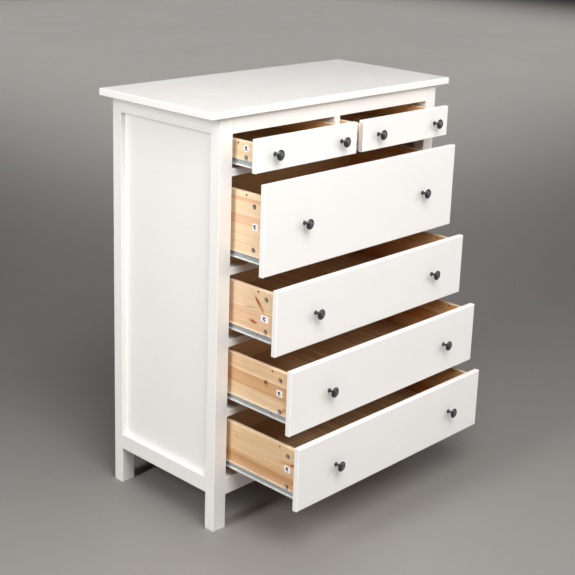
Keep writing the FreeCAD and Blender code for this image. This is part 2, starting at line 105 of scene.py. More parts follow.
GLIDE_LENGTH = 16.0
GLIDE_GAP = 0.3
GLIDE_ROUNDING = 4.0
GLIDE_STEM_RADIUS = 4.0
NAIL_HEAD_RADIUS = 2.5
NAIL_EDGE = 7.0
NAILS_ALONG = 9


def add_camera():
    """The camera, at the height and angle that show the chest's left side, front and top."""
    yaw, pitch, roll = (math.radians(a) for a in (CAMERA_YAW, CAMERA_PITCH, CAMERA_ROLL))
    forward = Vector((math.sin(yaw) * math.cos(pitch), math.cos(yaw) * math.cos(pitch),
                      math.sin(pitch)))
    level = forward.cross(Vector((0, 0, 1))).normalized()
    above = level.cross(forward)
    right = level * math.cos(roll) + above * math.sin(roll)
    up = above * math.cos(roll) - level * math.sin(roll)
    camera = bpy.data.objects.new("camera", bpy.data.cameras.new("camera"))
    camera.matrix_world = (Matrix.Translation(CAMERA_PLACE)
                           @ Matrix((right, up, -forward)).transposed().to_4x4())
    camera.data.lens = CAMERA_LENS
    camera.data.shift_x, camera.data.shift_y = CAMERA_SHIFT
    camera.data.clip_end = 200
    bpy.context.scene.collection.objects.link(camera)
    bpy.context.scene.camera = camera


# ---- Materials ----

class Look:
    """A material, with short ways to add the nodes that give it its detail."""

    def __init__(self, name, color, roughness, finish=None):
        self.material = bpy.data.materials.new(name)
        self.material.use_nodes = True
        self.tree = self.material.node_tree
        self.shader = self.tree.nodes["Principled BSDF"]
        self.give("Base Color", (*color, 1.0))
        self.give("Roughness", roughness)
        for socket, value in (finish or {}).items():
            self.give(socket, value)
        self.place = self.add("TexCoord").outputs["Object"]

    def give(self, socket, value):
        """Sets one of the shader's own sockets."""
        self.join(self.shader.inputs[socket], value)

    def join(self, socket, value):
        """Links a socket to another's output, or gives it a plain value."""
        if isinstance(value, bpy.types.NodeSocket):
            self.tree.links.new(value, socket)
        elif value is not None:
            socket.default_value = value

    def add(self, kind, *inputs, **settings):
        """A new shader node, with its inputs in their order; None leaves one alone."""
        node = self.tree.nodes.new("ShaderNode" + kind)
        for setting, value in settings.items():
            setattr(node, setting, value)
        for socket, value in zip(node.inputs, inputs):
            self.join(socket, value)
        return node

    def calc(self, operation, *values):
        """Arithmetic on one, two or three numbers."""
        return self.add("Math", *values, operation=operation).outputs[0]

    def move(self, operation, *vectors):
        """Arithmetic on vectors."""
        return self.add("VectorMath", *vectors, operation=operation).outputs[0]

    def axes(self, vector):
        """A vector's three parts."""
        return self.add("SeparateXYZ", vector).outputs

    def vector(self, x, y, z):
        """A vector made of three parts."""
        return self.add("CombineXYZ", x, y, z).outputs[0]

    def fit(self, value, old, new):
        """A number carried from the old range to the new one, and held inside it."""
        return self.add("MapRange", value, *old, *new).outputs[0]

    def noise(self, size, stretch=(1, 1, 1), detail=3.0, place=None):
        """Noise whose features are about as long as size, divided by stretch along each axis."""
        scaled = self.move("MULTIPLY", place or self.place, tuple(s / size for s in stretch))
        return self.add("TexNoise", scaled, None, 1.0, detail).outputs[0]

    def ramp(self, value, stops, interpolation="LINEAR"):
        """Colours picked by a number, from (number, colour) stops."""
        node = self.add("ValToRGB", value)
        node.color_ramp.interpolation = interpolation
        elements = node.color_ramp.elements
        while len(elements) < len(stops):
            elements.new(0.5)
        for element, (position, color) in zip(elements, stops):
            element.position = position
            element.color = (*color, 1.0)
        return node.outputs[0]

    def blend(self, share, first, second, how="MIX"):
        """Two colours mixed: share is how much of the second."""
        node = self.tree.nodes.new("ShaderNodeMix")
        node.data_type = "RGBA"
        node.blend_type = how
        first, second = (c if isinstance(c, bpy.types.NodeSocket) else (*c, 1.0)
                         for c in (first, second))
        for index, value in ((0, share), (6, first), (7, second)):
            self.join(node.inputs[index], value)
        return node.outputs[2]

    def raise_by(self, *layers):
        """Bumps, from (height, distance in metres) layers."""
        normal = None
        for height, distance in layers:
            bump = self.add("Bump", 1.0, distance)
            self.join(bump.inputs["Height"], height)
            self.join(bump.inputs["Normal"], normal)
            normal = bump.outputs[0]
        self.give("Normal", normal)

    def edges(self, radius):
        """1 within about the radius of an edge, 0 on flat faces."""
        worn = self.add("Bevel", radius, samples=6).outputs[0]
        flat = self.add("NewGeometry").outputs["Normal"]
        agreement = self.add("VectorMath", worn, flat, operation="DOT_PRODUCT").outputs["Value"]
        return self.fit(agreement, (0.995, 0.90), (0.0, 1.0))


def grain_stretch(grain, share):
    """The stretch of a noise whose features run along the grain axis, X, Y or Z."""
    return tuple(share if axis == grain else 1.0 for axis in "XYZ")


PAINT = (0.875, 0.85, 0.82)
# Paler paint at the edges: partly wear, partly a painted highlight
PAINT_WEAR_AND_HIGHLIGHT = (0.93, 0.915, 0.89)
PAINT_WARM = (0.85, 0.82, 0.785)
GRIME = (0.42, 0.36, 0.30)


def white_paint(grain, feet=False):
    """Satin white paint over wood whose grain just shows through it."""
    look = Look(f"white_paint_along_{grain}{'_feet' if feet else ''}", PAINT, 0.42,
                {"Coat Weight": 0.12, "Coat Roughness": 0.25})
    cloud = look.noise(0.35)
    color = look.blend(look.fit(cloud, (0.35, 0.7), (0.0, 0.5)), PAINT, PAINT_WARM)
    # Edges are paler: partly worn paint, partly a painted highlight along the rounded edges.
    color = look.blend(look.calc("MULTIPLY", look.edges(1.6 * MM), 0.5), color, PAINT_WEAR_AND_HIGHLIGHT)
    specks = look.fit(look.noise(5 * MM, detail=6.0), (0.72, 0.80), (0.0, 0.35))
    color = look.blend(specks, color, PAINT_WARM)
    if feet:
        height = look.fit(look.axes(look.place)[2], (0.0, 0.06), (1.0, 0.0))
        scuffs = look.fit(look.noise(12 * MM, detail=6.0), (0.52, 0.72), (0.0, 0.35))
        color = look.blend(look.calc("MULTIPLY", height, scuffs), color, GRIME)
    look.give("Base Color", color)
    look.give("Roughness", look.fit(look.noise(0.06, detail=5.0), (0.3, 0.7), (0.36, 0.48)))
    fibres = look.noise(1.6 * MM, grain_stretch(grain, 0.02), detail=4.0)
    peel = look.noise(1.1 * MM, detail=2.0)
    look.raise_by((fibres, 0.035 * MM), (peel, 0.02 * MM))
    return look.material


# A glued board: where it starts, as a share of the side's height, its tint along its lower and
# upper edges, and how far its growth rings are shifted
Board = namedtuple("Board", "start low high shift")
# A knot or stain: how far it lies behind the drawer's front and above the side's lower edge, its
# half length and half height, all in millimetres, its turn in degrees, its colour and strength
Knot = namedtuple("Knot", "back up length height turn color strength")
PINE_LIGHT = (0.85, 0.665, 0.46)
PINE_LATE = (0.74, 0.45, 0.24)
# The pale colour of the painted highlight on pine faces that look up
PINE_TOP_HIGHLIGHT = (0.93, 0.82, 0.66)
KNOT_RED = (0.33, 0.065, 0.02)
KNOT_BROWN = (0.13, 0.05, 0.02)
STAIN = (0.58, 0.25, 0.09)
# The colour that multiplies the faces inside a drawer: painted shade, darker and warmer
PINE_INSIDE_SHADE = (0.99, 0.84, 0.66)
# How deep under the outer faces the painted inside shade is full, and where it starts, in
# millimetres
INSIDE_SHADE_DEPTH = (13.0, 11.0)
# A spare hole's dark mark, painted shade of the hole: half length and half height in millimetres,
# turn; then its strength
SPARE_HOLE_SHADE = (3.0, 3.0, 0)
SPARE_HOLE_SHADE_STRENGTH = 0.9


def pine(name, grain, low, high, boards, knots=(), seed=0.0, figure=1.0):
    """Clear-lacquered pine, glued up from boards that lie on each other.

    low and high are the piece's corners; boards run from the lowest up; figure is how strongly
    the grain shows. The faces inside a drawer get painted shade; faces that look up get a painted
    highlight.
    """
    look = Look(name, PINE_LIGHT, 0.4, {"Coat Weight": 0.2, "Coat Roughness": 0.3})
    parts = look.axes(look.place)
    along = parts[0] if grain == "X" else parts[1]
    through = parts[1] if grain == "X" else parts[0]
    sway = look.noise(0.16, detail=1.0)
    height = look.fit(look.calc("MULTIPLY_ADD", look.calc("SUBTRACT", sway, 0.5), 9 * MM, parts[2]),
                      (low.z, high.z), (0.0, 1.0))
    ends = [board.start for board in boards[1:]] + [1.0]
    stops = []
    for board, end in zip(boards, ends):
        stops += [(board.start + 0.006, board.low), (end - 0.006, board.high)]
    tints = look.ramp(height, stops)
    shifts = look.ramp(height, [(b.start, (b.shift,) * 3) for b in boards], "CONSTANT")
    up = parts[2]
    marks = []
    for knot in knots:
        a = look.calc("SUBTRACT", along, low.y + knot.back * MM)
        b = look.calc("SUBTRACT", parts[2], low.z + knot.up * MM)
        cos, sin = math.cos(math.radians(knot.turn)), math.sin(math.radians(knot.turn))
        turned = look.vector(
            look.calc("MULTIPLY_ADD", a, cos / (knot.length * MM),
                      look.calc("MULTIPLY", b, sin / (knot.length * MM))),
            look.calc("MULTIPLY_ADD", b, cos / (knot.height * MM),
                      look.calc("MULTIPLY", a, -sin / (knot.height * MM))),
            0.0)
        reach = look.add("VectorMath", turned, operation="LENGTH").outputs["Value"]
        marks.append((knot, reach))
        pull = look.fit(reach, (0.6, 3.2), (0.8, 0.0))
        up = look.calc("SUBTRACT", up, look.calc("MULTIPLY", pull, b))
    spread = look.calc("MULTIPLY_ADD", shifts, 1.3, up)
    trunk = look.vector(look.calc("MULTIPLY", along, 0.06),
                        look.calc("ADD", spread, seed),
                        look.calc("ADD", through, 0.09))
    rings = look.add("TexWave", trunk, 42.0, 5.0, 3.0, 0.6, 0.55, wave_type="RINGS",
                     rings_direction="X", wave_profile="SAW").outputs[1]
    late = look.calc("POWER", rings, 2.6)
    patches = look.noise(0.03, grain_stretch(grain, 0.12), detail=2.0)
    fibres = look.noise(0.9 * MM, grain_stretch(grain, 0.03), detail=4.0)
    bands = look.noise(7 * MM, grain_stretch(grain, 0.03), detail=3.0)
    strength = look.fit(patches, (0.3, 0.7), (0.25 * figure, 0.8 * figure))
    color = look.blend(look.calc("MULTIPLY", late, strength), PINE_LIGHT, PINE_LATE)
    color = look.blend(1.0, color, tints, "MULTIPLY")
    streaks = look.ramp(fibres, [(0.3, (0.90, 0.87, 0.83)), (0.7, (1.04, 1.04, 1.04))])
    color = look.blend(0.8, color, streaks, "MULTIPLY")
    # Painted shade: faces more than 11 to 13 mm in from the piece's ends along X, as the sides'
    # inner faces are, are made darker and warmer.
    middle, half = (low.x + high.x) / 2, (high.x - low.x) / 2
    inner = look.fit(look.calc("ABSOLUTE", look.calc("SUBTRACT", parts[0], middle)),
                     tuple(half - depth * MM for depth in INSIDE_SHADE_DEPTH), (1.0, 0.0))
    color = look.blend(inner, color, PINE_INSIDE_SHADE, "MULTIPLY")
    slow = look.ramp(bands, [(0.35, (0.93, 0.88, 0.82)), (0.65, (1.04, 1.05, 1.06))])
    color = look.blend(min(1.0, 0.7 * figure), color, slow, "MULTIPLY")
    for knot, reach in marks:
        halo = look.fit(reach, (1.0, 2.2), (0.45 * knot.strength, 0.0))
        color = look.blend(halo, color, STAIN)
        heart = look.fit(reach, (1.2, 0.75), (0.0, knot.strength))
        color = look.blend(heart, color, knot.color)
    # Painted highlight: faces that look up are blended towards a pale colour.
    upward = look.fit(look.axes(look.add("NewGeometry").outputs["Normal"])[2],
                      (0.8, 0.98), (0.0, 0.35))
    look.give("Base Color", look.blend(upward, color, PINE_TOP_HIGHLIGHT))
    look.give("Roughness", look.fit(late, (0.0, 1.0), (0.46, 0.36)))
    look.raise_by((late, 0.04 * MM), (fibres, 0.03 * MM))
    return look.material


PRINT_LIGHT = (0.86, 0.59, 0.34)
PRINT_DARK = (0.56, 0.34, 0.17)
PRINT_SEAM = (0.26, 0.14, 0.065)
PRINT_STRIP = 18 * MM


def printed_board(seed):
    """Thin fibreboard with a foil printed as narrow wood strips that run from front to back."""
    look = Look(f"printed_board_{seed}", PRINT_LIGHT, 0.45)
    x, y, z = look.axes(look.place)
    strips = look.calc("ADD", look.calc("DIVIDE", x, PRINT_STRIP), seed)
    number = look.calc("FLOOR", strips)
    inside = look.calc("FRACT", strips)
    tone = look.add("TexWhiteNoise", None, number, noise_dimensions="1D").outputs[0]
    grained = look.vector(x, look.calc("MULTIPLY_ADD", number, 0.37, y), z)
    grain = look.noise(1.4 * MM, (1, 0.02, 1), place=grained)
    figure = look.noise(6 * MM, (1, 0.06, 1), place=grained)
    share = look.calc("MULTIPLY_ADD", tone, 0.45, look.calc("MULTIPLY", grain, 0.35))
    share = look.calc("MULTIPLY_ADD", figure, 0.3, share)
    color = look.blend(look.fit(share, (0.2, 0.9), (0.0, 1.0)), PRINT_LIGHT, PRINT_DARK)
    seam = look.fit(look.calc("ABSOLUTE", look.calc("SUBTRACT", inside, 0.5)),
                    (0.38, 0.47), (0.0, 0.9))
    color = look.blend(seam, color, PRINT_SEAM)
    look.give("Base Color", color)
    look.give("Roughness", look.fit(grain, (0.3, 0.7), (0.4, 0.52)))
    look.raise_by((seam, -0.05 * MM), (grain, 0.02 * MM))
    return look.material


def hardboard():
    """Bare brown hardboard, pressed from fine fibres."""
    look = Look("hardboard", (0.50, 0.31, 0.16), 0.65)
    clumps = look.noise(4 * MM, detail=6.0)
    threads = look.noise(0.8 * MM, (1, 1, 0.2), detail=5.0)
    cloud = look.noise(0.2)
    color = look.blend(look.fit(clumps, (0.35, 0.65), (0.0, 1.0)),
                       (0.56, 0.35, 0.18), (0.42, 0.25, 0.125))
    color = look.blend(look.fit(threads, (0.5, 0.75), (0.0, 0.5)), color, (0.30, 0.16, 0.08))
    color = look.blend(look.fit(cloud, (0.4, 0.7), (0.0, 0.3)), color, (0.60, 0.40, 0.23))
    look.give("Base Color", color)
    look.give("Roughness", look.fit(clumps, (0.3, 0.7), (0.55, 0.75)))
    look.raise_by((clumps, 0.05 * MM), (threads, 0.04 * MM))
    return look.material


def zinc(name, color, dull, streaked=True, metallic=1.0, shine=False):
    """Zinc plate over steel, drawn along Y where streaked; with shine, a painted highlight on top
    and at edges.
    """
    look = Look(name, color, dull, {"Metallic": metallic})
    stretch = (1, 0.012, 1) if streaked else (1, 1, 1)
    drawn = look.noise(0.9 * MM, stretch, detail=4.0)
    bloom = look.noise(14 * MM, detail=5.0)
    tone = look.blend(look.fit(bloom, (0.35, 0.7), (0.0, 0.6)), color,
                      tuple(c * 0.78 for c in color))
    tone = look.blend(look.fit(drawn, (0.3, 0.7), (0.0, 0.35)), tone,
                      tuple(min(1.0, c * 1.25) for c in color))
    rough = look.fit(look.calc("ADD", drawn, bloom), (0.7, 1.3), (dull - 0.08, dull + 0.12))
    # Painted highlight: faces that look up and the edges are made paler, glossier and more metallic.
    if shine:
        upward = look.fit(look.axes(look.add("NewGeometry").outputs["Normal"])[2],
                          (0.6, 0.95), (0.0, 1.0))
        edge = look.edges(4.5 * MM)
        tone = look.blend(upward, tone, (0.86, 0.85, 0.83))
        tone = look.blend(edge, tone, (0.95, 0.94, 0.92))
        rough = look.calc("MULTIPLY", rough, look.fit(upward, (0.0, 1.0), (1.0, 0.5)))
        polish = look.calc("MULTIPLY", upward, look.fit(edge, (0.0, 1.0), (1.0, 0.0)))
        look.give("Metallic", look.fit(polish, (0.0, 1.0), (metallic, 1.0)))
    look.give("Base Color", tone)
    look.give("Roughness", rough)
    look.raise_by((drawn, 0.012 * MM), (bloom, 0.05 * MM))
    return look.material


def moulded_plastic(name, color, roughness):
    """Moulded plastic with the fine texture of its tool."""
    look = Look(name, color, roughness)
    spark = look.noise(0.35 * MM, detail=2.0)
    flow = look.noise(6 * MM)
    tone = look.blend(look.fit(flow, (0.35, 0.7), (0.0, 0.5)), color,
                      tuple(c * 0.86 for c in color))
    look.give("Base Color", tone)
    look.give("Roughness", look.fit(flow, (0.3, 0.7), (roughness - 0.06, roughness + 0.08)))
    look.raise_by((spark, 0.02 * MM), (flow, 0.04 * MM))
    return look.material


KNOB_COLOR = (0.013, 0.0135, 0.016)


def knob_lacquer():
    """Near-black satin lacquer on a casting, its flat face coloured greyer as a painted highlight.
    """
    look = Look("knob_lacquer", KNOB_COLOR, 0.36, {"Coat Weight": 0.4, "Coat Roughness": 0.3})
    cast = look.noise(1.5 * MM, detail=4.0)
    shine = look.noise(9 * MM, detail=3.0)
    tone = look.blend(look.fit(shine, (0.45, 0.75), (0.0, 0.6)), KNOB_COLOR,
                      (0.022, 0.0225, 0.026))
    # Painted highlight: the flat face that looks to the front is coloured greyer.
    forward = look.axes(look.add("NewGeometry").outputs["Normal"])[1]
    face = look.fit(forward, (-0.90, -0.995), (0.0, 1.0))
    face_highlight = look.calc("MULTIPLY", face, look.fit(cast, (0.3, 0.6), (0.7, 1.0)))
    look.give("Base Color", look.blend(face_highlight, tone, (0.095, 0.095, 0.105)))
    look.give("Roughness", look.fit(shine, (0.35, 0.7), (0.42, 0.30)))
    look.raise_by((cast, 0.03 * MM),)
    return look.material


def beech():
    """Fluted beech, for the dowels."""
    look = Look("beech", (0.70, 0.50, 0.32), 0.55)
    flecks = look.noise(1.2 * MM, (0.15, 0.15, 1), detail=4.0)
    look.give("Base Color", look.blend(look.fit(flecks, (0.5, 0.7), (0.0, 0.7)),
                                       (0.72, 0.53, 0.35), (0.52, 0.33, 0.19)))
    look.raise_by((flecks, 0.04 * MM),)
    return look.material


def floor_look():
    """A pale, smooth studio floor."""
    look = Look("studio_floor", (0.255, 0.241, 0.228), 0.6)
    cloud = look.noise(0.9, detail=5.0)
    grit = look.noise(6 * MM, detail=4.0)
    color = look.blend(look.fit(cloud, (0.35, 0.7), (0.0, 1.0)),
                       (0.26, 0.246, 0.233), (0.245, 0.231, 0.218))
    look.give("Base Color", look.blend(look.fit(grit, (0.55, 0.75), (0.0, 0.25)), color,
                                       (0.21, 0.197, 0.185)))
    look.give("Roughness", look.fit(cloud, (0.3, 0.7), (0.5, 0.65)))
    return look.material


# Tints of the glued boards, and each drawer's boards
PALE = (1.0, 1.0, 1.0)
HONEY = (0.95, 0.80, 0.75)
ROSE = (0.90, 0.80, 0.75)
BUFF = (0.91, 0.87, 0.83)
TAN = (0.88, 0.81, 0.71)
CREAM = (1.04, 1.06, 1.10)
ORANGE = (0.80, 0.62, 0.48)
BOARDS = {
    "small_left_drawer": [Board(0.0, (0.88, 0.82, 0.74), (0.89, 0.94, 0.93), 0.13)],
    "small_right_drawer": [Board(0.0, HONEY, PALE, 0.61)],
    "wide_drawer_1": [Board(0.0, (0.99, 0.96, 0.93), (0.99, 0.96, 0.93), 0.20),
                      Board(0.26, PALE, PALE, 0.45), Board(0.515, HONEY, HONEY, 0.08),
                      Board(0.655, PALE, PALE, 0.72),
                      Board(0.86, (0.90, 0.73, 0.64), (0.90, 0.73, 0.64), 0.33),
                      Board(0.915, PALE, PALE, 0.93)],
    "wide_drawer_2": [Board(0.0, ROSE, ROSE, 0.25), Board(0.555, CREAM, BUFF, 0.50),
                      Board(0.60, BUFF, BUFF, 0.66)],
    "wide_drawer_3": [Board(0.0, (0.93, 0.91, 0.87), TAN, 0.83),
                      Board(0.412, (0.77, 0.59, 0.44), ORANGE, 0.15),
                      Board(0.66, (0.76, 0.56, 0.41), (0.76, 0.56, 0.41), 0.30),
                      Board(0.705, CREAM, (0.97, 0.91, 0.84), 0.40), Board(0.75, TAN, TAN, 0.55)],
    "wide_drawer_4": [Board(0.0, (0.84, 0.80, 0.74), (0.75, 0.60, 0.46), 0.05),
                      Board(0.20, (0.75, 0.60, 0.46), (0.665, 0.455, 0.29), 0.30),
                      Board(0.31, (0.665, 0.455, 0.29), (0.88, 0.79, 0.67), 0.30),
                      Board(0.44, (0.87, 0.79, 0.68), (0.89, 0.87, 0.77), 0.77)],
}
KNOTS = {
    "wide_drawer_1": [Knot(2, 104, 6, 2.2, 20, KNOT_BROWN, 0.9)],
    "wide_drawer_2": [Knot(67, 108, 20, 4.4, 48, KNOT_RED, 1.0),
                      Knot(54, 92, 10, 5.0, 48, STAIN, 0.85),
                      Knot(87, 45, 13, 4.0, 8, KNOT_RED, 1.0),
                      Knot(77, 63, 14, 12, 0, (0.80, 0.50, 0.33), 0.25),
                      Knot(102, 86, 26, 1.1, -6, KNOT_BROWN, 0.6)],
    "wide_drawer_3": [Knot(94.5, 97, 7.5, 6.5, 0, KNOT_BROWN, 0.95),
                      Knot(91, 87, 4.5, 7, 20, STAIN, 0.7),
                      Knot(14, 50, 10, 22, 0, STAIN, 0.22),
                      Knot(22.5, 29.5, 10, 4.0, -40, STAIN, 1.0)],
    "wide_drawer_4": [Knot(34, 97, 30, 5.0, -6, STAIN, 0.5),
                      Knot(9, 101, 18, 3.8, -25, KNOT_RED, 0.95),
                      Knot(249, 114, 3.5, 5, 0, STAIN, 0.45)],
}
FIGURE = {"wide_drawer_3": 1.3, "wide_drawer_4": 1.5}


def finish_case():
    """Gives every node of the case its material."""
    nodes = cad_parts
    paint_x, paint_y, paint_z = (white_paint(grain) for grain in "XYZ")
    paint_feet = white_paint("Z", feet=True)
    looks = {
        "top_panel": paint_x, "front_rails": paint_x, "rear_rails": paint_x,
        "side_rails": paint_y, "centre_partition": paint_y, "side_panels": paint_z,
        "front_posts": paint_feet, "rear_posts": paint_feet,
        "back_panel": hardboard(), "case_runners": ZINC_DRAWN, "frame_dowels": beech(),
    }
    for node, look in looks.items():
        dress(nodes[node], look)
    for drawer in WIDE_DRAWERS + SMALL_DRAWERS:
        dress(nodes[f"{drawer}_front"], paint_x)


def finish_drawers():
    """Gives the nodes of the drawers their materials."""
    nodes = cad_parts
    knobs = knob_lacquer()
    black = moulded_plastic("black_plastic", (0.03, 0.03, 0.032), 0.45)
    for number, drawer in enumerate(FITTINGS):
        low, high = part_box(f"{drawer}_sides")
        # Painted shade: the spare hole gets a dark mark a little wider than the hole.
        spare_hole_shade = Knot(SPARE_HOLE_SETBACK, (high.z - low.z) / MM - SPARE_HOLE_DROP,
                          *SPARE_HOLE_SHADE, KNOT_BROWN, SPARE_HOLE_SHADE_STRENGTH)
        dress(nodes[f"{drawer}_sides"],
              pine(f"pine_{drawer}_sides", "Y", low, high, BOARDS[drawer],
                   [*KNOTS.get(drawer, ()), spare_hole_shade], 0.11 * number, FIGURE.get(drawer, 1.0)))
        low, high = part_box(f"{drawer}_back")
        dress(nodes[f"{drawer}_back"],
              pine(f"pine_{drawer}_back", "X", low, high,
                   [Board(0.0, PALE, PALE, 0.31 + 0.1 * number), Board(0.55, CREAM, PALE, 0.7)],
                   seed=0.17 * number))
        dress(nodes[f"{drawer}_bottom"], printed_board(number))
        dress(nodes[f"{drawer}_runners"], ZINC_DRAWN)
        dress(nodes[f"{drawer}_knobs"], knobs)
        dress(nodes[f"{drawer}_rollers"], black)


def dress(obj, material):
    """Puts one material on the whole object."""
    if not obj.material_slots:
        obj.data.materials.append(material)
    for slot in obj.material_slots:
        slot.material = material


# ---- Mesh tools. Outlines are in millimetres, (a, b) points round a middle ----

def circle(radius, count=40):
    """The outline of a circle, as a function of how far it is drawn in."""
    def outline(inset=0.0):
        turns = [2 * math.pi * i / count for i in range(count)]
        return [((radius - inset) * math.cos(t), (radius - inset) * math.sin(t)) for t in turns]
    return outline


def rounded_rectangle(half_a, half_b, corner, steps=6):
    """The outline of a rectangle with round corners, as a function of how far it is drawn in."""
    def outline(inset=0.0):
        points = []
        for quarter, (sign_a, sign_b) in enumerate(((1, 1), (-1, 1), (-1, -1), (1, -1))):
            for i in range(steps + 1):
                turn = math.pi / 2 * (quarter + i / steps)
                points.append((sign_a * (half_a - corner) + (corner - inset) * math.cos(turn),
                               sign_b * (half_b - corner) + (corner - inset) * math.sin(turn)))
        return points
    return outline


def rectangle(a, b, half_a, half_b):
    """The outline of a rectangle round the point (a, b)."""
    return [(a - half_a, b - half_b), (a + half_a, b - half_b),
            (a + half_a, b + half_b), (a - half_a, b + half_b)]


def cross(arm, half_width):
    """The outline of a cross recess."""
    w = half_width
    quarter = [(arm, -w), (arm, w), (w, w)]
    points = []
    for cos, sin in ((1, 0), (0, 1), (-1, 0), (0, -1)):
        points += [(a * cos - b * sin, a * sin + b * cos) for a, b in quarter]
    return points


def arc_slot(inner, outer, start, end, count=14):
    """The outline of a slot that follows an arc between two angles in degrees."""
    turns = [math.radians(start + (end - start) * i / count) for i in range(count + 1)]
    return ([(outer * math.cos(t), outer * math.sin(t)) for t in turns]
            + [(inner * math.cos(t), inner * math.sin(t)) for t in reversed(turns)])


def facing_x(side, x, y, z):
    """Places points on a face that looks along X, to the right for side 1, left for side -1."""
    return lambda a, b, n: (x + side * n * MM, y + a * MM, z + b * MM)


def facing_y(side, x, y, z):
    """Places points on a face that looks along Y: back for side 1, to the front for side -1."""
    return lambda a, b, n: (x + a * MM, y + side * n * MM, z + b * MM)


def ring(bm, place, points, height):
    """The outline's vertices at a height above the face."""
    return [bm.verts.new(place(a, b, height)) for a, b in points]


def skin(bm, lower, upper):
    """The faces between two rings with as many vertices each."""
    for i, vertex in enumerate(lower):
        j = (i + 1) % len(lower)
        bm.faces.new((vertex, lower[j], upper[j], upper[i]))


def round_trip(bm, vertices):
    """The edges of a closed ring of vertices."""
    pairs = zip(vertices, vertices[1:] + vertices[:1])
    return [bm.edges.get(pair) or bm.edges.new(pair) for pair in pairs]


def add_solid(bm, place, outline, steps, recesses=()):
    """A closed solid whose outline is drawn in by each step's inset at the step's height.

    The last step is its face, sunk where each recess, (points, depth), says.
    """
    rings = [ring(bm, place, outline(inset), height) for inset, height in steps]
    bm.faces.new(rings[0])
    for lower, upper in zip(rings, rings[1:]):
        skin(bm, lower, upper)
    top = steps[-1][1]
    rims = round_trip(bm, rings[-1])
    for points, depth in recesses:
        mouth = ring(bm, place, points, top)
        floor = ring(bm, place, points, top - depth)
        skin(bm, mouth, floor)
        bm.faces.new(floor)
        rims += round_trip(bm, mouth)
    bmesh.ops.triangle_fill(bm, use_beauty=True, edges=rims)


def new_piece(name, bm, material, body, replaced):
    """Makes the object, on its body, that stands for part of a CAD node."""
    bmesh.ops.recalc_face_normals(bm, faces=bm.faces)
    mesh = bpy.data.meshes.new(name)
    bm.to_mesh(mesh)
    bm.free()
    mesh.shade_smooth()
    mesh.set_sharp_from_angle(angle=math.radians(38))
    mesh.materials.append(material)
    obj = bpy.data.objects.new(name, mesh)
    bpy.context.scene.collection.objects.link(obj)
    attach(obj, body)
    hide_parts(replaced)


# ---- Fittings ----

def thread(core, crest, low, high, pitch):
    """Steps, (radius, height), up a thread made of rings, from its tip."""
    steps = [(0.3 * core, low - core), (core, low)]
    count = int((high - low) / pitch)
    for i in range(count):
        height = low + i * pitch
        steps += [(crest, height + 0.4 * pitch), (crest, height + 0.55 * pitch),
                  (core, height + 0.95 * pitch)]
    return steps


def add_wood_screw(bm, place, length):
    """A countersunk screw with a cross recess, its head level with the face."""
    head, shank = SCREW_HEAD_RADIUS, SCREW_SHANK_RADIUS
    radii = thread(0.65 * shank, shank, 1.2 - length, -3.0, 1.6)
    radii += [(shank, -2.2), (head, -0.25), (head - 0.15, -0.05)]
    add_solid(bm, place, circle(head, 28), [(head - r, n) for r, n in radii],
              [(cross(1.9, 0.42), 1.3)])


def add_cam(bm, place):
    """A cam: a cast cup with a cross recess and the open mouth that takes the bolt's head."""
    steps = [(0.5, -CAM_DEPTH), (0.0, -CAM_DEPTH + 0.5), (0.0, -0.35), (0.3, -0.05),
             (1.0, -0.05), (1.2, -CAM_SUNK), (1.5, -CAM_SUNK)]
    add_solid(bm, place, circle(CAM_RADIUS), steps,
              [(cross(*CAM_CROSS), 2.6), (arc_slot(*CAM_MOUTH), 6.5)])


def add_cam_bolt(bm, place):
    """The bolt in the front that the cam draws tight: a thread, a collar, a neck and a head."""
    reach = FITTING_SETBACK - CAM_RADIUS - 0.1
    core = CAM_BOLT_RADIUS - 0.9
    radii = thread(core, CAM_BOLT_RADIUS, 1.9 - CAM_BOLT_GRIP, -0.8, 1.8)
    radii += [(CAM_BOLT_RADIUS, -0.3), (CAM_BOLT_RADIUS, 1.0), (core, 1.4),
              (core, reach - 3.4), (CAM_BOLT_RADIUS, reach - 2.6),
              (CAM_BOLT_RADIUS, reach - 0.6), (core, reach)]
    add_solid(bm, place, circle(CAM_BOLT_RADIUS, 24), [(CAM_BOLT_RADIUS - r, n) for r, n in radii])


def add_adjuster(bm, place, half_length, half_height, small):
    """The white insert that trims the front, with a slot in the shape of a C for its dial."""
    top = ADJUSTER_PROUD
    recesses = [(arc_slot(*DIAL_SLOT, -DIAL_SLOT_TURN, DIAL_SLOT_TURN), 1.7)]
    steps = [(0.0, -ADJUSTER_THICKNESS), (0.0, top - 0.35), (0.1, top - 0.1), (0.4, top)]
    outline = rounded_rectangle(half_length, half_height, 2.0)
    if small:
        outline = circle(half_height, 48)
        steps += [(2.2, top), (2.4, top - 0.5), (3.0, top - 0.5), (3.2, top)]
    elif half_length > 1.3 * half_height:
        recesses.append((rectangle(half_length - 4.0, 1.5, 0.9, 4.0), 1.0))
    add_solid(bm, place, outline, steps, recesses)


def add_dial(bm, place):
    """The dial seen through the adjuster's slot; its near-black colour is partly its own, partly
    painted shade of the slot.
    """
    def outline(inset=0.0):
        inner, outer = DIAL_SLOT
        return arc_slot(inner + DIAL_GAP + inset, outer - DIAL_GAP - inset, -DIAL_TURN, DIAL_TURN)
    add_solid(bm, place, outline, [(0.0, -1.25), (0.0, -0.55), (0.3, -0.3)])


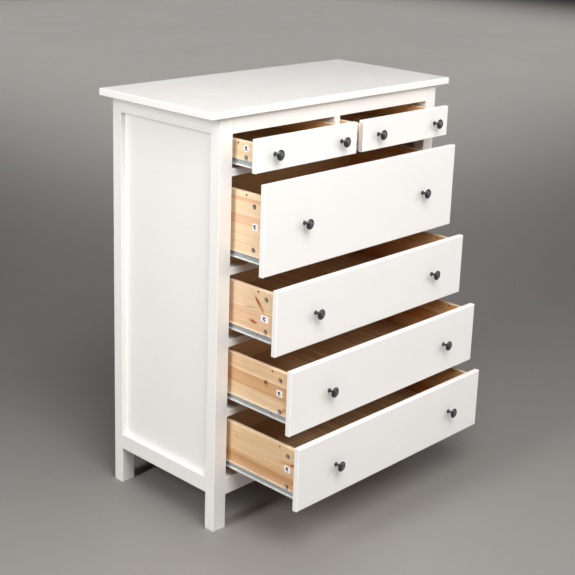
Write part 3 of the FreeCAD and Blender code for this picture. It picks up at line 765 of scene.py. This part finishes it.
def add_knob_screw(bm, place, front_thickness):
    """The pan-headed screw that holds a knob, seen inside the drawer."""
    head, shank = 4.5, 2.0
    radii = thread(1.6, shank, -front_thickness - KNOB_SCREW_BITE, -2.0, 0.9)
    radii += [(shank, 0.0), (head, 0.0), (head, 1.0), (head - 0.4, 1.8), (head - 1.2, 2.3),
              (head - 2.2, 2.5)]
    add_solid(bm, place, circle(head, 32), [(head - r, n) for r, n in radii],
              [(cross(1.9, 0.5), 1.6)])


def add_glide(bm, place):
    """The nylon block at the rear of a drawer's channel, and the stem that holds it."""
    add_solid(bm, place, circle(GLIDE_STEM_RADIUS, 32), [(0.0, RUNNER_SHEET), (0.0, GLIDE_SPAN[0])])
    half_height = RUNNER_HEIGHT / 2 - RUNNER_SHEET - GLIDE_GAP
    add_solid(bm, place, rounded_rectangle(GLIDE_LENGTH / 2, half_height, GLIDE_ROUNDING),
              [(0.5, GLIDE_SPAN[0]), (0.0, GLIDE_SPAN[0] + 0.5),
               (0.0, GLIDE_SPAN[1] - 0.5), (0.5, GLIDE_SPAN[1])],
              [(circle(2.6, 24)(), 1.2)])


def fit_out_drawer(drawer):
    """Builds the detailed fittings of one drawer in place of the plain ones."""
    front_low, front_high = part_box(f"{drawer}_front")
    side_low, side_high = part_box(f"{drawer}_sides")
    runner_low, runner_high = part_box(f"{drawer}_runners")
    knob_low, knob_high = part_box(f"{drawer}_knobs")
    small = drawer in SMALL_DRAWERS
    bottom = front_low.z
    fitting_y = front_high.y + FITTING_SETBACK * MM
    runner_z = runner_low.z + RUNNER_HEIGHT / 2 * MM
    groups = {name: bmesh.new() for name in ("cams", "cam_bolts", "adjusters", "dials",
                                             "screws", "knob_screws", "glides")}
    for side, x in ((-1, side_low.x), (1, side_high.x)):
        for cam in FITTINGS[drawer].cams:
            z = bottom + cam * MM
            add_cam(groups["cams"], facing_x(side, x, fitting_y, z))
            add_cam_bolt(groups["cam_bolts"],
                         facing_y(1, x - side * SIDE_THICKNESS / 2 * MM, front_high.y, z))
        setback, height, half_length, half_height = FITTINGS[drawer].adjuster
        insert = facing_x(side, x, front_high.y + setback * MM, bottom + height * MM)
        add_adjuster(groups["adjusters"], insert, half_length, half_height, small)
        add_dial(groups["dials"], insert)
        web = x + side * RUNNER_SHEET * MM
        for setback in RUNNER_SCREW_SETBACKS:
            add_wood_screw(groups["screws"],
                           facing_x(side, web, front_high.y + setback * MM, runner_z),
                           DRAWER_RUNNER_SCREW_LENGTH)
        rear_y = side_high.y - SIDE_THICKNESS / 2 * MM
        for z in (runner_high.z + BOX_SCREW_ABOVE_RUNNER * MM,
                  side_high.z - BOX_SCREW_BELOW_TOP * MM):
            add_wood_screw(groups["screws"], facing_x(side, x, rear_y, z), BOX_SCREW_LENGTH)
        add_glide(groups["glides"],
                  facing_x(side, x, side_high.y - GLIDE_SETBACK * MM, runner_z))
    head_radius = (knob_high.z - knob_low.z) / 2
    for x in (knob_low.x + head_radius, knob_high.x - head_radius):
        add_knob_screw(groups["knob_screws"],
                       facing_y(1, x, front_high.y, (knob_low.z + knob_high.z) / 2),
                       (front_high.y - front_low.y) / MM)
    looks = {"cams": ZINC_CAST, "adjusters": WHITE_PLASTIC, "dials": DIAL_SLOT_SHADE,
             "glides": WHITE_PLASTIC, "screws": STEEL_DARK}
    for name, bm in groups.items():
        new_piece(f"{drawer}_{name}", bm, looks.get(name, ZINC_SCREW), drawer,
                  f"{drawer}_fittings")


def fit_out_case():
    """Builds the case's runner screws, roller rivets and back panel nails in detail."""
    screws, rivets, nails = bmesh.new(), bmesh.new(), bmesh.new()
    for drawer in FITTINGS:
        roller_low, roller_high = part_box(f"{drawer}_rollers")
        z = (roller_low.z + roller_high.z) / 2
        roller_y = (roller_low.y + roller_high.y) / 2
        side_low, side_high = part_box(f"{drawer}_sides")
        for side, x in ((-1, side_low.x), (1, side_high.x)):
            web = x + side * (SIDE_CLEARANCE - RUNNER_SHEET) * MM
            for behind in CASE_RUNNER_SCREWS_BEHIND_ROLLER:
                add_wood_screw(screws, facing_x(-side, web, roller_y + behind * MM, z),
                               CASE_RUNNER_SCREW_LENGTH)
            add_solid(rivets, facing_x(-side, x, roller_y, z), circle(RIVET_RADIUS, 32),
                      [(0.0, -11.8), (0.0, -6.2), (1.5, -6.2), (1.5, -2.1), (0.0, -2.1),
                       (0.2, -1.6), (0.9, -1.5)])
    panel_low, panel_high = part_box("back_panel")
    edge = NAIL_EDGE * MM
    last = NAILS_ALONG - 1
    across = [panel_low.x + edge + (panel_high.x - panel_low.x - 2 * edge) * i / last
              for i in range(NAILS_ALONG)]
    upward = [panel_low.z + edge + (panel_high.z - panel_low.z - 2 * edge) * i / last
              for i in range(NAILS_ALONG)]
    spots = [(x, z) for x in across for z in (upward[0], upward[-1])]
    spots += [(x, z) for z in upward[1:-1] for x in (across[0], across[-1])]
    head = NAIL_HEAD_RADIUS
    for x, z in spots:
        add_solid(nails, facing_y(1, x, panel_high.y, z), circle(head, 24),
                  [(head - 0.1, -16.0), (head - 1.0, -14.0), (head - 1.0, 0.0), (0.0, 0.0),
                   (0.0, 0.35), (0.5, 0.7), (1.4, 0.8)])
    for name, bm in (("runner_screws", screws), ("roller_rivets", rivets), ("back_nails", nails)):
        new_piece(name, bm, ZINC_SCREW, "case", "case_fasteners")


# ---- Studio ----

# A soft rectangular light: its sides in metres, and the angle in degrees that it spreads over
Lamp = namedtuple("Lamp", "name place aim width height watts spread")
LIT_MIDDLE = (0.0, -0.1, 0.7)
LAMPS = (
    Lamp("key", (-1.36, -2.46, 3.63), LIT_MIDDLE, 2.6, 2.6, 171.0, 180.0),
    Lamp("right_fill", (1.85, -3.31, 2.3), LIT_MIDDLE, 3.6, 2.8, 76.0, 180.0),
    Lamp("left_strip", (-3.70, -0.10, 2.25), LIT_MIDDLE, 0.7, 2.0, 92.0, 180.0),
    Lamp("ceiling", (0.0, -0.1, 4.7), LIT_MIDDLE, 1.8, 1.8, 18.0, 180.0),
    Lamp("far_floor", (8.5, 8.5, 5.0), (8.5, 8.5, 0.0), 13.0, 13.0, 760.0, 70.0),
)
WORLD_LIGHT = 0.01
BACKDROP_LIGHT = 0.26
FLOOR_REACH = 30.0


def add_lamp(lamp):
    """One soft rectangular light."""
    light = bpy.data.lights.new(lamp.name, "AREA")
    light.shape = "RECTANGLE"
    light.size = lamp.width
    light.size_y = lamp.height
    light.energy = lamp.watts
    light.spread = math.radians(lamp.spread)
    obj = bpy.data.objects.new(lamp.name, light)
    obj.location = lamp.place
    facing = Vector(lamp.aim) - Vector(lamp.place)
    obj.rotation_euler = facing.to_track_quat("-Z", "Y").to_euler()
    bpy.context.scene.collection.objects.link(obj)


def add_studio():
    """The lights, a faint even light with a grey backdrop to look at, and the floor."""
    for lamp in LAMPS:
        add_lamp(lamp)
    world = bpy.data.worlds.new("studio")
    world.use_nodes = True
    background = world.node_tree.nodes["Background"]
    background.inputs["Color"].default_value = (1.0, 1.0, 1.0, 1.0)
    sight = world.node_tree.nodes.new("ShaderNodeLightPath").outputs["Is Camera Ray"]
    strength = world.node_tree.nodes.new("ShaderNodeMapRange")
    for socket, value in zip(strength.inputs, (sight, 0.0, 1.0, WORLD_LIGHT, BACKDROP_LIGHT)):
        if value is sight:
            world.node_tree.links.new(value, socket)
        else:
            socket.default_value = value
    world.node_tree.links.new(strength.outputs[0], background.inputs["Strength"])
    bpy.context.scene.world = world
    bm = bmesh.new()
    bmesh.ops.create_grid(bm, x_segments=4, y_segments=4, size=FLOOR_REACH)
    mesh = bpy.data.meshes.new("studio_floor")
    bm.to_mesh(mesh)
    bm.free()
    floor = bpy.data.objects.new("studio_floor", mesh)
    mesh.materials.append(floor_look())
    bpy.context.scene.collection.objects.link(floor)
    bpy.context.scene.view_settings.view_transform = "Standard"


ZINC_DRAWN = zinc("zinc_drawn", (0.43, 0.455, 0.45), 0.42, metallic=0.45, shine=True)
# The cams' zinc is darker than the screws': partly its own colour, partly painted shade of the cups'
# hollows
ZINC_CAST = zinc("zinc_cast", (0.50, 0.46, 0.40), 0.34, streaked=False, metallic=0.8)
ZINC_SCREW = zinc("zinc_screw", (0.60, 0.60, 0.60), 0.34, streaked=False)
STEEL_DARK = zinc("steel_dark", (0.16, 0.17, 0.18), 0.4, streaked=False, metallic=0.6)
WHITE_PLASTIC = moulded_plastic("white_plastic", (0.90, 0.90, 0.91), 0.42)
# Near-black dial: partly its own colour, partly painted shade inside the adjuster's slot
DIAL_SLOT_SHADE = moulded_plastic("dial_slot_shade", (0.014, 0.014, 0.02), 0.5)

add_camera()
finish_case()
finish_drawers()
for drawer in FITTINGS:
    fit_out_drawer(drawer)
fit_out_case()
add_studio()
